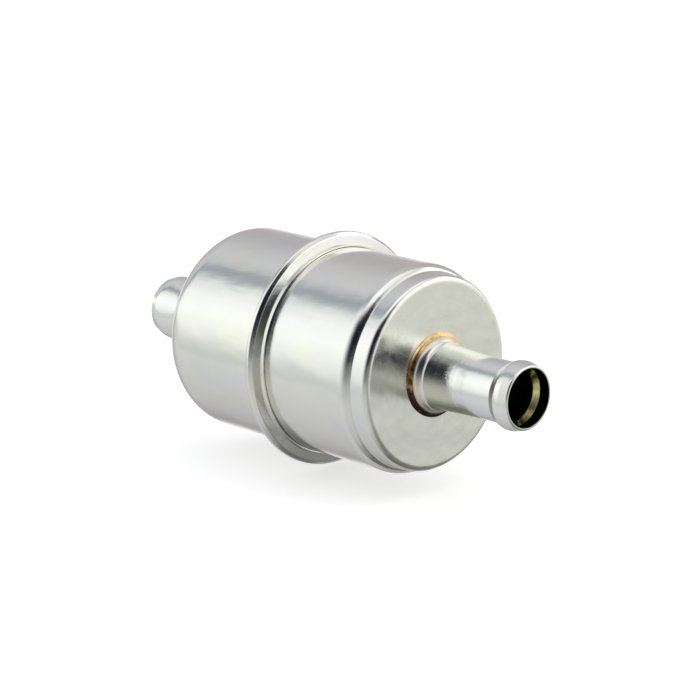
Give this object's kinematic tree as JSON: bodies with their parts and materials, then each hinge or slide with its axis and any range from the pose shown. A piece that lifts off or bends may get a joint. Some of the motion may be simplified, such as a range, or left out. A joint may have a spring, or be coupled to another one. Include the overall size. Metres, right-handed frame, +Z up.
{
  "type": "in-line fuel filter",
  "caption": "Metal in-line fuel filter: two drawn cans joined by a rolled seam, with a brazed beaded hose nipple at each end and a pleated element inside.",
  "frame": {"origin": "middle of the overall length, on the filter's axis", "axes": "+X along the axis from the inlet to the outlet, in the direction of flow; +Z up, through the element's seam clip"},
  "size_m": [0.0812, 0.0376, 0.0376],
  "materials": {
    "plated_steel": "satin zinc plate",
    "plated_tube": "bright zinc plate",
    "braze_copper": "braze copper",
    "tinplate": "satin",
    "spring_steel": "satin",
    "filter_paper": "matte",
    "plastisol": "matte",
    "seal_rubber": "matte"
  },
  "bodies": {
    "root": {"inlet_shell": "plated_steel", "outlet_shell": "plated_steel", "inlet_nipple": "plated_tube", "outlet_nipple": "plated_tube", "inlet_braze_ring": "braze_copper", "outlet_braze_ring": "braze_copper", "seam_seal": "seal_rubber", "inlet_end_cap": "tinplate", "outlet_end_cap": "tinplate", "inlet_potting": "plastisol", "outlet_potting": "plastisol", "core_tube": "tinplate", "pleated_media": "filter_paper", "seam_clip": "tinplate", "outlet_grommet": "seal_rubber", "spring_spider": "spring_steel"}
  },
  "joints": []
}
